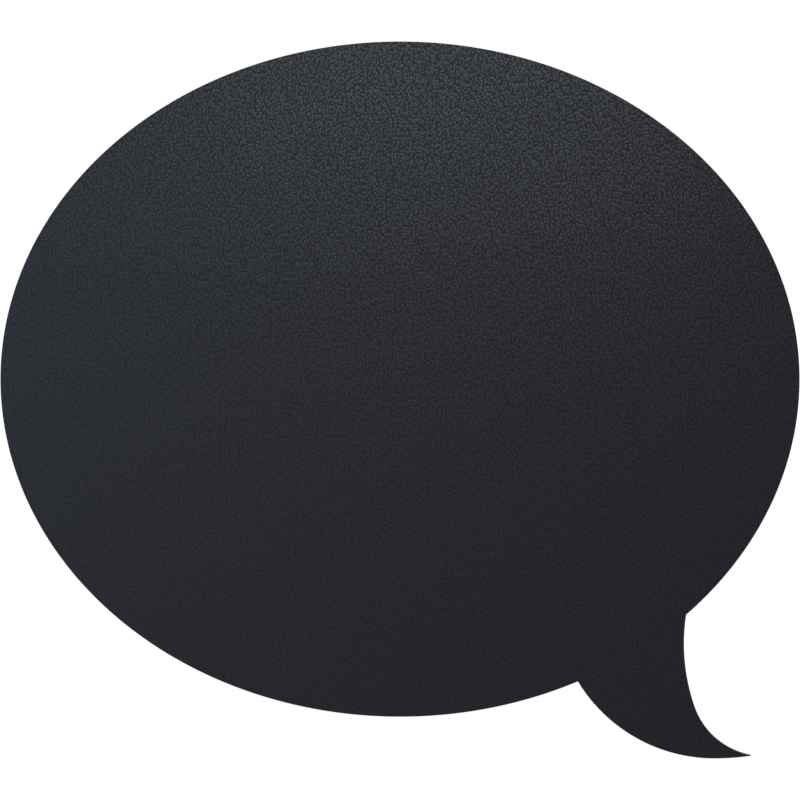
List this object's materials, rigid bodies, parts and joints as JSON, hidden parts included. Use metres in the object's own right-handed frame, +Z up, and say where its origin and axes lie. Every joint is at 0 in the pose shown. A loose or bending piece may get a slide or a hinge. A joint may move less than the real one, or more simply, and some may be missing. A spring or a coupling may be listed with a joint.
{
  "type": "speech bubble chalkboard",
  "caption": "Wall-hung chalkboard shaped as an oval speech bubble with a curved tail: a laminated board with banded edges, swinging ring hangers and rubber bumpers behind.",
  "frame": {"origin": "on the wall plane that the bumpers touch, behind the middle of the oval bubble", "axes": "+X to the right and +Z up as seen by someone reading the board, +Y into the wall; the writing face looks along -Y"},
  "size_m": [0.34, 0.0126, 0.305],
  "materials": {
    "chalk_laminate": "fine pebbled matt chalk surface",
    "mdf": "raw fibreboard",
    "kraft_backing": "matt brown backing laminate",
    "edge_plastic": "satin black edging",
    "strap_steel": "zinc plated",
    "ring_wire": "nickel plated wire",
    "screw_steel": "yellow zinc plated",
    "bumper_rubber": "matt"
  },
  "bodies": {
    "board": {"chalk_face": "chalk_laminate", "core_board": "mdf", "back_sheet": "kraft_backing", "edge_band_bubble": "edge_plastic", "edge_band_tail_outer": "edge_plastic", "edge_band_tail_inner": "edge_plastic", "hanger_strap_left": "strap_steel", "hanger_strap_right": "strap_steel", "hanger_screw_left": "screw_steel", "hanger_screw_right": "screw_steel", "wall_bumper_upper_left": "bumper_rubber", "wall_bumper_upper_right": "bumper_rubber", "wall_bumper_lower_left": "bumper_rubber", "wall_bumper_lower_right": "bumper_rubber"},
    "ring_left": {"hanger_ring_left": "ring_wire"},
    "ring_right": {"hanger_ring_right": "ring_wire"}
  },
  "joints": [
    {"name": "ring_left_swing", "type": "hinge", "parent": "board", "child": "ring_left", "pos_m": [-0.09076, -0.003, 0.08394], "axis": [1, 0, 0], "range_deg": [-2, 182]},
    {"name": "ring_right_swing", "type": "hinge", "parent": "board", "child": "ring_right", "pos_m": [0.09076, -0.003, 0.08394], "axis": [1, 0, 0], "range_deg": [-2, 182]}
  ]
}
